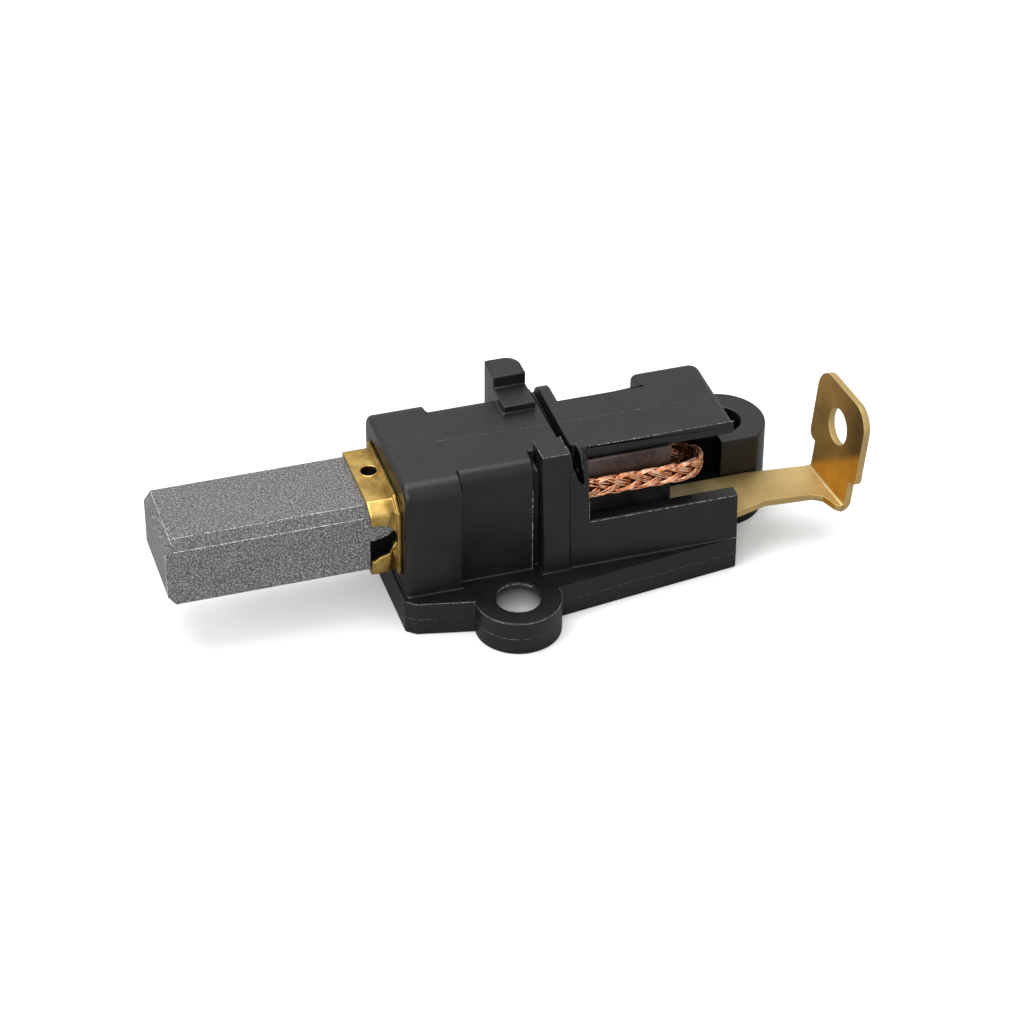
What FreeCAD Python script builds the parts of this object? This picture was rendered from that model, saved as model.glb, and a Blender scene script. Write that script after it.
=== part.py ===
import FreeCAD, Part
import Sketcher
import math
import os

V = FreeCAD.Vector
doc = FreeCAD.newDocument("carbon_brush_holder")

# Driving sizes, in millimetres and degrees
SIZES = [
    # housing: body along X, parting plane at y = 0, seat at z = 0
    ("seat_height", 4.2), ("front_x", -16.4), ("rear_x", 22.3), ("roof_rise", 2.96), ("roof_thick", 1.7),
    ("collar_rear_x", -9.95), ("wall_near", 2.08), ("wall_far", 2.98), ("wide_round", 2.1),
    ("waist_near", 0.93), ("waist_far", 1.28), ("mid_round", 1.5), ("web_x", 2.2), ("window_x", 4.75),
    ("web_lean", 0.9), ("web_round", 2.8), ("sill_rise", 3.28), ("plate_in", 0.52), ("notch_in", 1.72),
    ("notch_end_x", 14.2), ("plate_round", 0.9), ("plate_corner", 1.3), ("notch_corner", 0.7), ("lap", 0.4),
    ("collar_front_round", 0.6),
    ("slot_left_x", 2.5), ("slot_right_x", 3.35), ("slot_depth", 1.5), ("slot_turn", 3.5),
    ("slot_left_high", 0.55), ("slot_right_high", 0.6), ("slot_drop_high", 1.86),
    ("slot_left_mid", 0.85), ("slot_right_mid", 0.75), ("slot_drop_mid", 3.06),
    ("slot_left_low", 1.35), ("slot_right_low", 0.85), ("slot_drop_low", 3.76),
    ("flange_front", 0.45), ("flange_near", 0.5), ("flange_cut", 0.6), ("flange_bulge", 1.4),
    ("root_left_x", 4.75), ("root_left_y", 0.6), ("root_right_x", 4.7), ("root_right_y", 0.35),
    ("mouth_wide", 0.45), ("mouth_inset", 0.5),
    # near post and far hook
    ("post_left_x", -0.7), ("post_right_x", 2.45), ("post_out", 0.25), ("post_in", 2.07), ("post_rise", 0.94),
    ("post_lean", 0.95), ("relief_wide", 0.8), ("relief_skin", 0.12),
    ("hook_left_x", -1.85), ("hook_right_x", 1.95), ("hook_in", 2.62), ("hook_out", 3.6), ("hook_rise", 1.5),
    ("hook_round", 1.7),
    # screw ears
    ("ear_x", -4.65), ("ear_out", 3.4), ("ear_rad", 4.86), ("screw_rad", 2.5),
    ("boss_x", 24.45), ("boss_in", 1.02), ("boss_rad", 5.4), ("boss_rise", 4.75), ("boss_cut", 1.02),
    ("bay_past", 0.8), ("bay_in", 4.1),
    ("hole_break", 0.18),
    # guide tube, folded from sheet
    ("sheet", 0.45), ("tube_half", 5.92), ("tube_rise", 2.45), ("tube_high", 8.85), ("tube_front_x", -19.85),
    ("tube_rear_x", 14.8), ("corner_wide", 1.5), ("corner_drop", 0.95), ("bend_round", 0.5), ("lip_height", 0.38),
    ("lip_wide", 0.45), ("stop_hole", 2.05), ("fit_gap", 0.05), ("eye_x", -18.0), ("eye_y", 1.2), ("eye_rad", 1.0),
    ("mouth_rise", 4.55), ("mouth_half", 2.05), ("mouth_deep", 3.0), ("fin_gap", 0.02), ("fin_rise", 1.35),
    # carbon
    ("play_side", 0.05), ("play_high", 0.07), ("carbon_front_x", -42.5),
    ("carbon_tail_x", -8.4), ("carbon_bevel_x", 0.82), ("carbon_bevel_z", 1.15), ("carbon_cut_y", 1.39),
    ("carbon_cut_z", 0.85), ("plug_rad", 2.0), ("plug_deep", 4.0),
    # spring
    ("spring_rad", 3.15), ("wire_rad", 0.3), ("spring_turns", 13.0), ("spring_rise", 4.4),
    # braid
    ("braid_wide", 1.28), ("braid_thick", 0.5), ("braid_rise", 4.95), ("braid_gap", 0.03), ("braid_lift", 1.95),
    ("braid_turn_x", 15.5), ("braid_hid", 0.3), ("braid_play", 0.07),
    # terminal
    ("strip_thick", 0.8), ("strip_gap", 0.15), ("strip_in", 0.07), ("strip_start_x", 10.8), ("bend_x", 34.0),
    ("bend_in", 0.4), ("bend_lap", 0.02), ("tab_yaw", 4.7), ("tab_lean", 5.8), ("tab_in", 1.22), ("neck_half", 4.3),
    ("head_half", 5.7), ("head_low", 2.9), ("head_top", 12.4), ("head_round", 2.7), ("shoulder_part", 0.714),
    ("tab_hole", 2.15), ("tab_hole_t", 7.55),
]
# Sizes that follow from those above
FOLLOW = {
    "tube_low_z": "(seat_height + tube_rise)", "tube_top_z": "(tube_low_z + tube_high)",
    "roof_z": "(tube_top_z + roof_rise)", "sill_z": "(tube_low_z + sill_rise)", "boss_z": "(tube_low_z + boss_rise)",
    "wide_near": "(tube_half + wall_near)", "wide_far": "(tube_half + wall_far)",
    "mid_near": "(tube_half + waist_near)", "mid_far": "(tube_half + waist_far)",
    "plate_near": "(tube_half - plate_in)", "plate_far": "(tube_half - notch_in)",
    "post_near": "(wide_near + post_out)", "post_far": "(tube_half - post_in)", "post_z": "(roof_z + post_rise)",
    "relief_x": "(post_left_x - relief_wide)", "hook_near": "(tube_half - hook_in)", "hook_step": "(mid_far - fit_gap)",
    "hook_far": "(mid_far + hook_out)", "hook_z": "(post_z + hook_rise)", "slot_turn_y": "(slot_turn - wide_near)",
    "slot_high_z": "(roof_z - slot_drop_high)", "slot_mid_z": "(roof_z - slot_drop_mid)",
    "slot_low_z": "(roof_z - slot_drop_low)", "skin_y": "(0 - tube_half - fit_gap - relief_skin)",
    "ear_y": "(0 - wide_near - ear_out)", "boss_y": "(tube_half - boss_in)", "mouth_z": "(tube_low_z + mouth_rise)",
    "carbon_half": "(tube_half - sheet - play_side)", "carbon_low_z": "(tube_low_z + sheet + play_high)",
    "carbon_top_z": "(tube_top_z - sheet - play_high)", "spring_z": "(tube_low_z + spring_rise)",
    "braid_in_z": "(tube_low_z + braid_rise)", "braid_out_z": "(braid_in_z + braid_lift)",
    "braid_out_y": "(tube_half + braid_gap + braid_thick)", "braid_end_x": "(window_x - braid_hid)",
    "braid_slot_x": "(braid_end_x - braid_play)", "strip_near": "(tube_half - strip_in)", "tab_y": "(tab_in - tube_half)",
    "boss_flat": "(boss_y - boss_rad + boss_cut)", "strip_far": "(boss_flat - strip_gap)",
    "shoulder_round": "((head_half - neck_half) * shoulder_part)",
}
sheet = doc.addObject("Spreadsheet::Sheet", "sizes")
for row, (name, value) in enumerate(SIZES, start=1):
    sheet.set("A%d" % row, name)
    sheet.set("B%d" % row, str(value))
    sheet.setAlias("B%d" % row, name)
doc.recompute()


def ref(text):
    """Turns size names into sheet references, so 'roof_z - 1' follows the cells."""
    out, word = "", ""
    for ch in text + " ":
        if ch.isalnum() or ch == "_" or (ch == "." and word):
            word += ch
            continue
        if word in FOLLOW:
            word = ref(FOLLOW[word])
        elif word and word[0].isalpha():
            word = "sizes." + word
        out += word + ch
        word = ""
    return out.strip()


def num(text):
    """The number that such a text stands for."""
    return float(sheet.evalExpression(ref(text)))


def val(name):
    return num(name)


def new_body(label):
    body = doc.addObject("PartDesign::Body", label)
    body.Label = label
    doc.recompute()
    return body


def plane(body, role):
    return [f for f in body.Origin.OriginFeatures if f.Role == role][0]


def new_sketch(body, name, role, offset=None):
    sk = body.newObject("Sketcher::SketchObject", name)
    sk.AttachmentSupport = [(plane(body, role), "")]
    sk.MapMode = "FlatFace"
    if offset is not None:
        sk.AttachmentOffset = offset
    return sk


def pin_point(sk, geo, pos, xt, yt):
    """Fixes one sketch point by two dimensions that follow the sheet."""
    for kind, text, tag in (("DistanceX", xt, "x"), ("DistanceY", yt, "y")):
        idx = sk.addConstraint(Sketcher.Constraint(kind, -1, 1, geo, pos, num(text)))
        label = "%s%d_%d" % (tag, geo, pos)
        sk.renameConstraint(idx, label)
        sk.setExpression("Constraints." + label, ref(text))


def outline(sk, points):
    """A closed outline of straight lines through points given as pairs of size texts."""
    flat = [V(num(a), num(b), 0) for a, b in points]
    first = sk.GeometryCount
    count = len(points)
    for i in range(count):
        sk.addGeometry(Part.LineSegment(flat[i], flat[(i + 1) % count]), False)
    for i in range(count):
        sk.addConstraint(Sketcher.Constraint("Coincident", first + i, 2, first + (i + 1) % count, 1))
    for i, (a, b) in enumerate(points):
        pin_point(sk, first + i, 1, a, b)


def round_outline(sk, points, corner, radius):
    """A closed outline through points; the corner between the last and the first of them is an arc."""
    spots = [V(num(a), num(b), 0) for a, b in points]
    tip = V(num(corner[0]), num(corner[1]), 0)
    back, ahead = (spots[-1] - tip).normalize(), (spots[0] - tip).normalize()
    half = math.acos(back.dot(ahead)) / 2
    size = num(radius)
    reach, centre = size / math.tan(half), tip + (back + ahead).normalize() * (size / math.sin(half))
    start, end = tip + back * reach, tip + ahead * reach
    for a, b in zip([end] + spots, spots + [start]):
        sk.addGeometry(Part.LineSegment(a, b), False)
    last = len(spots)
    middle = centre + (tip - centre).normalize() * size
    arc = sk.addGeometry(Part.Arc(start, middle, end), False)
    for i in range(last):
        sk.addConstraint(Sketcher.Constraint("Coincident", i, 2, i + 1, 1))
        pin_point(sk, i, 2, *points[i])
    ends = [V(*sk.getPoint(arc, k)) for k in (1, 2)]
    at_start = 1 if ends[0].distanceToPoint(start) < ends[1].distanceToPoint(start) else 2
    sk.addConstraint(Sketcher.Constraint("Tangent", last, 2, arc, at_start))
    sk.addConstraint(Sketcher.Constraint("Tangent", 0, 1, arc, 3 - at_start))
    mark = sk.addGeometry(Part.Point(tip), True)
    pin_point(sk, mark, 1, *corner)
    sk.addConstraint(Sketcher.Constraint("PointOnObject", mark, 1, 0))
    sk.addConstraint(Sketcher.Constraint("PointOnObject", mark, 1, last))
    idx = sk.addConstraint(Sketcher.Constraint("Radius", arc, size))
    sk.renameConstraint(idx, "round")
    sk.setExpression("Constraints.round", ref(radius))


def box_outline(sk, a0, a1, b0, b1):
    outline(sk, [(a0, b0), (a1, b0), (a1, b1), (a0, b1)])


def ring(sk, xt, yt, radius):
    geo = sk.addGeometry(Part.Circle(V(num(xt), num(yt), 0), V(0, 0, 1), num(radius)), False)
    pin_point(sk, geo, 3, xt, yt)
    idx = sk.addConstraint(Sketcher.Constraint("Radius", geo, num(radius)))
    sk.renameConstraint(idx, "rad%d" % geo)
    sk.setExpression("Constraints.rad%d" % geo, ref(radius))


def at_height(text):
    """An offset along a sketch plane's own normal."""
    return FreeCAD.Placement(V(0, 0, num(text)), FreeCAD.Rotation())


def lift(sk, text):
    sk.setExpression("AttachmentOffset.Base.z", ref(text))


def volume(body):
    return body.Shape.Volume if not body.Shape.isNull() else 0.0


def pad(body, sk, length, name):
    before = volume(body)
    feat = body.newObject("PartDesign::Pad", name)
    feat.Profile = sk
    feat.Length = num(length)
    feat.setExpression("Length", ref(length))
    sk.Visibility = False
    doc.recompute()
    if volume(body) <= before + 1e-6:
        raise RuntimeError(name + " adds nothing")
    return feat


def pocket(body, sk, length, name, reverse=False):
    before = volume(body)
    feat = body.newObject("PartDesign::Pocket", name)
    feat.Profile = sk
    feat.Length = num(length)
    feat.setExpression("Length", ref(length))
    feat.Reversed = reverse
    sk.Visibility = False
    doc.recompute()
    if volume(body) >= before - 1e-6:
        raise RuntimeError(name + " cuts nothing")
    return feat


def block(body, name, x0, x1, y0, y1, z0, z1, cut=False):
    """A straight block, added to or cut from a body, drawn on the XY plane at height z0."""
    sk = new_sketch(body, name + "_sketch", "XY_Plane", at_height(z0))
    lift(sk, z0)
    box_outline(sk, x0, x1, y0, y1)
    doc.recompute()
    height = "%s - (%s)" % (z1, z0)
    feat = body.newObject("PartDesign::Pocket" if cut else "PartDesign::Pad", name)
    before = volume(body)
    feat.Profile = sk
    feat.Length = num(z1) - num(z0)
    feat.setExpression("Length", ref(height))
    feat.Reversed = cut
    sk.Visibility = False
    doc.recompute()
    change = volume(body) - before
    if "Invalid" in feat.State or "Error" in feat.State:
        raise RuntimeError(name + " failed")
    if (cut and change > -1e-6) or (not cut and change < 1e-6):
        raise RuntimeError(name + " changes nothing")
    return feat


def edges_like(body, test):
    names = []
    for i, edge in enumerate(body.Tip.Shape.Edges, start=1):
        if len(edge.Vertexes) == 2 and test(edge, edge.Vertexes[0].Point, edge.Vertexes[1].Point):
            names.append("Edge%d" % i)
    return names


def dress(body, kind, name, names, size, prop):
    base = body.Tip
    feat = body.newObject("PartDesign::" + kind, name)
    feat.Base = (base, names)
    setattr(feat, prop, num(size))
    feat.setExpression(prop, ref(size))
    doc.recompute()
    if "Invalid" in feat.State or not feat.Shape.isValid():
        raise RuntimeError(name + " failed")
    return feat


def near(a, b, tol=1e-4):
    return abs(a - b) < tol


def along_x(p, q, y, z):
    return near(p.y, y) and near(q.y, y) and near(p.z, z) and near(q.z, z) and abs(p.x - q.x) > 0.1


def upright(p, q, x, y):
    return near(p.x, x) and near(q.x, x) and near(p.y, y) and near(q.y, y) and abs(p.z - q.z) > 0.1


def centred_circle(body, name, where, radius):
    """A circle on the tube's long axis at the braid's height."""
    sk = new_sketch(body, name, "YZ_Plane", at_height(where))
    lift(sk, where)
    geo = sk.addGeometry(Part.Circle(V(0, num("braid_in_z"), 0), V(0, 0, 1), num(radius)), False)
    sk.addConstraint(Sketcher.Constraint("PointOnObject", geo, 3, -2))
    for kind, text, tag in (("DistanceY", "braid_in_z", "height"), ("Radius", radius, "size")):
        args = (-1, 1, geo, 3, num(text)) if kind == "DistanceY" else (geo, num(text))
        sk.renameConstraint(sk.addConstraint(Sketcher.Constraint(kind, *args)), tag)
        sk.setExpression("Constraints." + tag, ref(text))
    doc.recompute()
    return sk


# Housing: one moulding with its seat flange, collar, waist, posts, window, roof plate, ears
housing = new_body("housing")
rz = val("roof_z")
block(housing, "waist", "front_x + lap", "window_x - lap", "-mid_near", "mid_far", "0", "roof_z")
mn, mf = -val("mid_near"), val("mid_far")
names = edges_like(housing, lambda e, p, q: along_x(p, q, mn, rz) or along_x(p, q, mf, rz))
dress(housing, "Fillet", "waist_rounds", names, "mid_round", "Radius")
block(housing, "collar", "front_x", "collar_rear_x", "-wide_near", "wide_far", "0", "roof_z")
wn, wf = -val("wide_near"), val("wide_far")
names = edges_like(housing, lambda e, p, q: along_x(p, q, wn, rz) or along_x(p, q, wf, rz))
dress(housing, "Fillet", "wide_rounds", names, "wide_round", "Radius")
fx = val("front_x")
names = edges_like(housing, lambda e, p, q: near(p.x, fx) and near(q.x, fx) and max(p.z, q.z) > 0.1
                   and (near(p.z, rz) and near(q.z, rz) or max(abs(p.y), abs(q.y)) > val("mid_far")))
dress(housing, "Fillet", "collar_front", names, "collar_front_round", "Radius")
# Web between post and window, its near face leaning inwards as in the mould and rounded over at the top
sk = new_sketch(housing, "web_sketch", "YZ_Plane", at_height("web_x"))
lift(sk, "web_x")
round_outline(sk, [("-wide_near", "seat_height"), ("-wide_near", "0"), ("wide_far", "0"), ("wide_far", "roof_z")],
              ("-wide_near + web_lean", "roof_z"), "web_round")
doc.recompute()
pad(housing, sk, "window_x - web_x", "web")
names = edges_like(housing, lambda e, p, q: along_x(p, q, wf, rz) and min(p.x, q.x) > 0)
dress(housing, "Fillet", "web_round_far", names, "wide_round", "Radius")

# Flange outline on the seat plane
sk = new_sketch(housing, "flange_sketch", "XY_Plane")
outline(sk, [("front_x - flange_front", "-wide_near - flange_near"),
             ("front_x + flange_cut", "-wide_near - flange_bulge"), ("ear_x - root_left_x", "ear_y + root_left_y"),
             ("ear_x + root_right_x", "ear_y + root_right_y"), ("rear_x", "-wide_near"),
             ("rear_x", "wide_far"), ("front_x - flange_front", "wide_far")])
doc.recompute()
pad(housing, sk, "seat_height", "flange")
sk = new_sketch(housing, "ear_sketch", "XY_Plane")
ring(sk, "ear_x", "ear_y", "ear_rad")
doc.recompute()
pad(housing, sk, "seat_height", "ear")

# Near post, far hook
sk = new_sketch(housing, "post_sketch", "YZ_Plane", at_height("post_left_x"))
lift(sk, "post_left_x")
outline(sk, [("-post_near", "0"), ("-post_far", "0"), ("-post_far", "post_z"),
             ("-post_near + post_lean", "post_z"), ("-post_near", "seat_height")])
doc.recompute()
pad(housing, sk, "post_right_x - post_left_x", "post")
block(housing, "hook_foot", "hook_left_x", "hook_right_x", "hook_near", "hook_far", "0", "post_z")
block(housing, "hook_head", "hook_left_x", "hook_right_x", "hook_step", "hook_far", "0", "hook_z")
px, py = val("hook_right_x"), val("hook_far")
names = edges_like(housing, lambda e, p, q: upright(p, q, px, py))
dress(housing, "Fillet", "hook_corner", names, "hook_round", "Radius")

# Rear part: sill block, far wall, roof plate with its notch
sk = new_sketch(housing, "sill_sketch", "YZ_Plane", at_height("window_x - lap"))
lift(sk, "window_x - lap")
outline(sk, [("-wide_near", "0"), ("wide_far - lap - lap", "0"), ("wide_far - lap - lap", "sill_z"),
             ("-wide_near + web_lean * (sill_z - seat_height) / (roof_z - seat_height)", "sill_z"),
             ("-wide_near", "seat_height")])
doc.recompute()
pad(housing, sk, "rear_x - window_x + lap", "sill")
block(housing, "far_wall", "notch_end_x", "boss_x - screw_rad - lap", "tube_half + 0.03", "mid_far", "0", "roof_z - 0.1")
block(housing, "roof_front", "window_x - lap", "rear_x", "-plate_near", "plate_far", "roof_z - roof_thick", "roof_z")
block(housing, "roof_rear", "notch_end_x", "rear_x", "-plate_near", "mid_far", "roof_z - roof_thick", "roof_z")
for place, size in (("rear_x", "plate_corner"), ("notch_end_x", "notch_corner")):
    at_x = val(place)
    names = edges_like(housing, lambda e, p, q: upright(p, q, at_x, mf) and max(p.z, q.z) > rz - 0.01)
    dress(housing, "Fillet", size + "_edge", names, size, "Radius")
names = edges_like(housing, lambda e, p, q: along_x(p, q, mf, rz) and min(p.x, q.x) > val("window_x"))
dress(housing, "Fillet", "roof_edge", names, "plate_round", "Radius")

# Rear screw boss, cut flat where the terminal passes
sk = new_sketch(housing, "boss_sketch", "XY_Plane")
ring(sk, "boss_x", "boss_y", "boss_rad")
doc.recompute()
pad(housing, sk, "boss_z", "boss")

# Guide channel right through, following the tube's cut corner
sk = new_sketch(housing, "channel_sketch", "YZ_Plane", at_height("front_x - 1"))
lift(sk, "front_x - 1")
outline(sk, [("-tube_half - fit_gap", "tube_low_z"), ("tube_half + 0.03", "tube_low_z"),
             ("tube_half + 0.03", "tube_top_z + fit_gap"), ("-tube_half + corner_wide", "tube_top_z + fit_gap"),
             ("-tube_half - fit_gap", "tube_top_z - corner_drop + fit_gap")])
doc.recompute()
pocket(housing, sk, "tube_rear_x + fit_gap - front_x + 1", "channel", True)
# Wider mouth round the tube's lip
sk = new_sketch(housing, "mouth_sketch", "YZ_Plane", at_height("front_x - 1"))
lift(sk, "front_x - 1")
box_outline(sk, "-tube_half - mouth_wide", "tube_half + mouth_wide", "tube_low_z - mouth_wide",
            "tube_top_z + mouth_wide")
doc.recompute()
pocket(housing, sk, "1 + mouth_inset", "mouth", True)
# Seat of the terminal strip, open end of the rear bay, flat of the boss
block(housing, "strip_seat", "strip_start_x - 0.1", "boss_x + 6", "-strip_near - fit_gap", "strip_far + fit_gap",
      "tube_low_z - strip_thick", "tube_low_z", cut=True)
block(housing, "rear_bay", "tube_rear_x", "rear_x + bay_past", "-tube_half - fit_gap", "tube_half - bay_in",
      "tube_low_z", "roof_z - roof_thick", cut=True)
block(housing, "boss_face", "rear_x", "boss_x + 6", "-tube_half", "boss_flat",
      "tube_low_z - strip_thick", "boss_z + 1", cut=True)
block(housing, "bay_side", "tube_rear_x", "boss_x - 4", "-1", "tube_half + 0.03",
      "tube_low_z", "roof_z - roof_thick", cut=True)
# Slot across the roof; at the near corner it drifts rearward and narrows to a tip
block(housing, "roof_slot", "slot_left_x", "slot_right_x", "slot_turn_y - fit_gap", "wide_far + 0.5",
      "roof_z - slot_depth", "roof_z + 1", cut=True)
block(housing, "slot_high", "slot_left_x + slot_left_high", "slot_right_x + slot_right_high", "-wide_near - 0.5",
      "slot_turn_y", "slot_high_z", "roof_z + 1", cut=True)
block(housing, "slot_mid", "slot_left_x + slot_left_mid", "slot_right_x + slot_right_mid", "-wide_near - 0.5",
      "skin_y", "slot_mid_z", "slot_high_z", cut=True)
block(housing, "slot_low", "slot_left_x + slot_left_low", "slot_right_x + slot_right_low", "-wide_near - 0.5",
      "skin_y", "slot_low_z", "slot_mid_z", cut=True)
# Relief beside the near post, as deep as the tube leaves room for
block(housing, "post_relief", "relief_x", "post_left_x", "-post_near - 0.5", "skin_y",
      "seat_height", "roof_z + 1", cut=True)
block(housing, "relief_top", "relief_x", "post_left_x", "-mid_near - 0.5", "-post_far - lap",
      "roof_z - 1.5", "roof_z + 1", cut=True)
# Pocket that the braid's end lies in
block(housing, "braid_pocket", "braid_slot_x", "window_x", "-braid_out_y - braid_thick - braid_play", "-tube_half",
      "braid_out_z - braid_wide - braid_play", "braid_out_z + braid_wide + braid_play", cut=True)
# Screw holes
for tag, hx, hy, hz in (("ear", "ear_x", "ear_y", "seat_height"), ("boss", "boss_x", "boss_y", "boss_z")):
    sk = new_sketch(housing, tag + "_hole_sketch", "XY_Plane")
    ring(sk, hx, hy, "screw_rad")
    doc.recompute()
    pocket(housing, sk, hz + " + 1", tag + "_hole", True)
names = []
for i, edge in enumerate(housing.Tip.Shape.Edges, start=1):
    if edge.Degenerated or not edge.isClosed() or not isinstance(edge.Curve, Part.Circle):
        continue
    if near(edge.Curve.Radius, val("screw_rad")):
        if near(edge.Curve.Center.z, val("seat_height")) or near(edge.Curve.Center.z, val("boss_z")):
            names.append("Edge%d" % i)
if names:
    dress(housing, "Chamfer", "hole_breaks", names, "hole_break", "Size")


def sleeve_outline(sk, grow):
    """The guide tube's section: a box with one corner cut off, grown by a size text."""
    outline(sk, [("-tube_half - " + grow, "tube_low_z - " + grow), ("tube_half + " + grow, "tube_low_z - " + grow),
                 ("tube_half + " + grow, "tube_top_z + " + grow),
                 ("-tube_half + corner_wide", "tube_top_z + " + grow),
                 ("-tube_half - " + grow, "tube_top_z - corner_drop")])


# Guide tube: folded sheet with a stop at its rear, a lip at the housing's mouth, an eye and a thumb notch
tube = new_body("brush_tube")
sk = new_sketch(tube, "sleeve_sketch", "YZ_Plane", at_height("tube_front_x"))
lift(sk, "tube_front_x")
sleeve_outline(sk, "0")
doc.recompute()
pad(tube, sk, "tube_rear_x - tube_front_x", "sleeve")
names = edges_like(tube, lambda e, p, q: abs(p.x - q.x) > val("tube_high"))
dress(tube, "Fillet", "outer_bends", names, "bend_round", "Radius")
sk = new_sketch(tube, "bore_sketch", "YZ_Plane", at_height("tube_front_x"))
lift(sk, "tube_front_x")
outline(sk, [("-tube_half + sheet", "tube_low_z + sheet"), ("tube_half - sheet", "tube_low_z + sheet"),
             ("tube_half - sheet", "tube_top_z - sheet"), ("-tube_half + corner_wide + 0.12", "tube_top_z - sheet"),
             ("-tube_half + sheet", "tube_top_z - corner_drop - 0.18")])
doc.recompute()
pocket(tube, sk, "tube_rear_x - tube_front_x - sheet", "sleeve_bore", True)
lip_x = "front_x - lip_wide - 0.06"
sk = new_sketch(tube, "lip_sketch", "YZ_Plane", at_height(lip_x))
lift(sk, lip_x)
sleeve_outline(sk, "lip_height")
outline(sk, [("-tube_half + sheet", "tube_low_z + sheet"), ("tube_half - sheet", "tube_low_z + sheet"),
             ("tube_half - sheet", "tube_top_z - sheet"), ("-tube_half + corner_wide + 0.12", "tube_top_z - sheet"),
             ("-tube_half + sheet", "tube_top_z - corner_drop - 0.18")])
doc.recompute()
pad(tube, sk, "lip_wide", "lip")
# Where the window shows it, the near side's sheet edge stands up to the roof plate
block(tube, "side_fin", "window_x + fin_gap", "tube_rear_x", "-tube_half", "-tube_half + sheet",
      "tube_top_z - corner_drop - sheet - lap", "tube_top_z + fin_rise")
sk = centred_circle(tube, "stop_hole_sketch", "tube_rear_x - 2", "stop_hole")
pocket(tube, sk, "3", "stop_opening", True)
sk = new_sketch(tube, "eye_sketch", "XY_Plane", at_height("tube_top_z - 1"))
lift(sk, "tube_top_z - 1")
ring(sk, "eye_x", "eye_y", "eye_rad")
doc.recompute()
pocket(tube, sk, "2", "eye", True)
# Thumb notch in the near side, open to the front, with flared lips
sk = new_sketch(tube, "notch_sketch", "XZ_Plane", at_height("tube_half - 1"))
lift(sk, "tube_half - 1")
outline(sk, [("tube_front_x - 1", "mouth_z - mouth_half - 0.35"), ("tube_front_x + 0.35", "mouth_z - mouth_half - 0.3"),
             ("tube_front_x + 0.9", "mouth_z - mouth_half + 0.15"), ("tube_front_x + 2", "mouth_z - mouth_half + 0.45"),
             ("tube_front_x + mouth_deep - 0.5", "mouth_z - mouth_half + 0.85"),
             ("tube_front_x + mouth_deep - 0.12", "mouth_z - mouth_half + 1.5"),
             ("tube_front_x + mouth_deep", "mouth_z"), ("tube_front_x + mouth_deep - 0.15", "mouth_z + 0.75"),
             ("tube_front_x + mouth_deep - 0.65", "mouth_z + 1.4"), ("tube_front_x + 1.6", "mouth_z + mouth_half - 0.1"),
             ("tube_front_x + 0.5", "mouth_z + mouth_half + 0.05"), ("tube_front_x - 1", "mouth_z + mouth_half + 0.2")])
doc.recompute()
pocket(tube, sk, "2", "thumb_notch", True)

# Carbon block with bevelled working end, one long corner cut off, and a socket for the tamped braid
carbon = new_body("carbon_brush")
sk = new_sketch(carbon, "block_sketch", "XZ_Plane", at_height("-carbon_half"))
lift(sk, "-carbon_half")
outline(sk, [("carbon_front_x", "carbon_low_z + carbon_bevel_z"), ("carbon_front_x + carbon_bevel_x", "carbon_low_z"),
             ("carbon_tail_x", "carbon_low_z"), ("carbon_tail_x", "carbon_top_z"),
             ("carbon_front_x + carbon_bevel_x", "carbon_top_z"),
             ("carbon_front_x", "carbon_top_z - carbon_bevel_z")])
doc.recompute()
pad(carbon, sk, "carbon_half + carbon_half", "stick")
sk = new_sketch(carbon, "corner_sketch", "YZ_Plane", at_height("carbon_front_x - 1"))
lift(sk, "carbon_front_x - 1")
outline(sk, [("-carbon_half - 1", "carbon_top_z - carbon_cut_z"), ("-carbon_half", "carbon_top_z - carbon_cut_z"),
             ("-carbon_half + carbon_cut_y", "carbon_top_z"), ("-carbon_half + carbon_cut_y", "carbon_top_z + 1"),
             ("-carbon_half - 1", "carbon_top_z + 1")])
doc.recompute()
pocket(carbon, sk, "carbon_tail_x - carbon_front_x + 2", "long_corner", True)
sk = centred_circle(carbon, "socket_sketch", "carbon_tail_x + 1", "plug_rad")
pocket(carbon, sk, "plug_deep + 1", "socket")

# Tamped plug that holds the braid in the carbon's tail
plug = new_body("shunt_plug")
sk = centred_circle(plug, "plug_sketch", "carbon_tail_x - plug_deep", "plug_rad")
pad(plug, sk, "plug_deep - 0.4", "plug")

# Shunt braid: a flattened section swept along a straight run, a half turn and a straight run back.
# The route is drawn in the plane of the turn, which is tilted so that the outer run is higher.
rise, out_y = val("braid_out_z") - val("braid_in_z"), val("braid_out_y")
turn_rad = math.hypot(rise, out_y) / 2
turn_text = "sqrt(sizes.braid_lift^2 + %s^2)" % ref("braid_out_y")
start_text = "carbon_tail_x - 0.4"
start_x, turn_x, end_x = num(start_text), val("braid_turn_x"), val("braid_end_x")
braid = new_body("shunt_braid")
route = new_sketch(braid, "route", "XY_Plane")
route.addGeometry(Part.LineSegment(V(start_x, 0, 0), V(turn_x, 0, 0)), False)
arc = Part.Circle(V(turn_x, -turn_rad, 0), V(0, 0, 1), turn_rad)
route.addGeometry(Part.ArcOfCircle(arc, -math.pi / 2, math.pi / 2), False)
route.addGeometry(Part.LineSegment(V(turn_x, -2 * turn_rad, 0), V(end_x, -2 * turn_rad, 0)), False)
route.addConstraint(Sketcher.Constraint("Tangent", 0, 2, 1, 2))
route.addConstraint(Sketcher.Constraint("Tangent", 1, 1, 2, 1))
route.addConstraint(Sketcher.Constraint("Horizontal", 0))
route.addConstraint(Sketcher.Constraint("PointOnObject", 0, 1, -1))


def held(sk, tag, constraint, text):
    """Adds a dimension under a name and ties it to the sheet."""
    sk.renameConstraint(sk.addConstraint(constraint), tag)
    sk.setExpression("Constraints." + tag, text)


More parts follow.
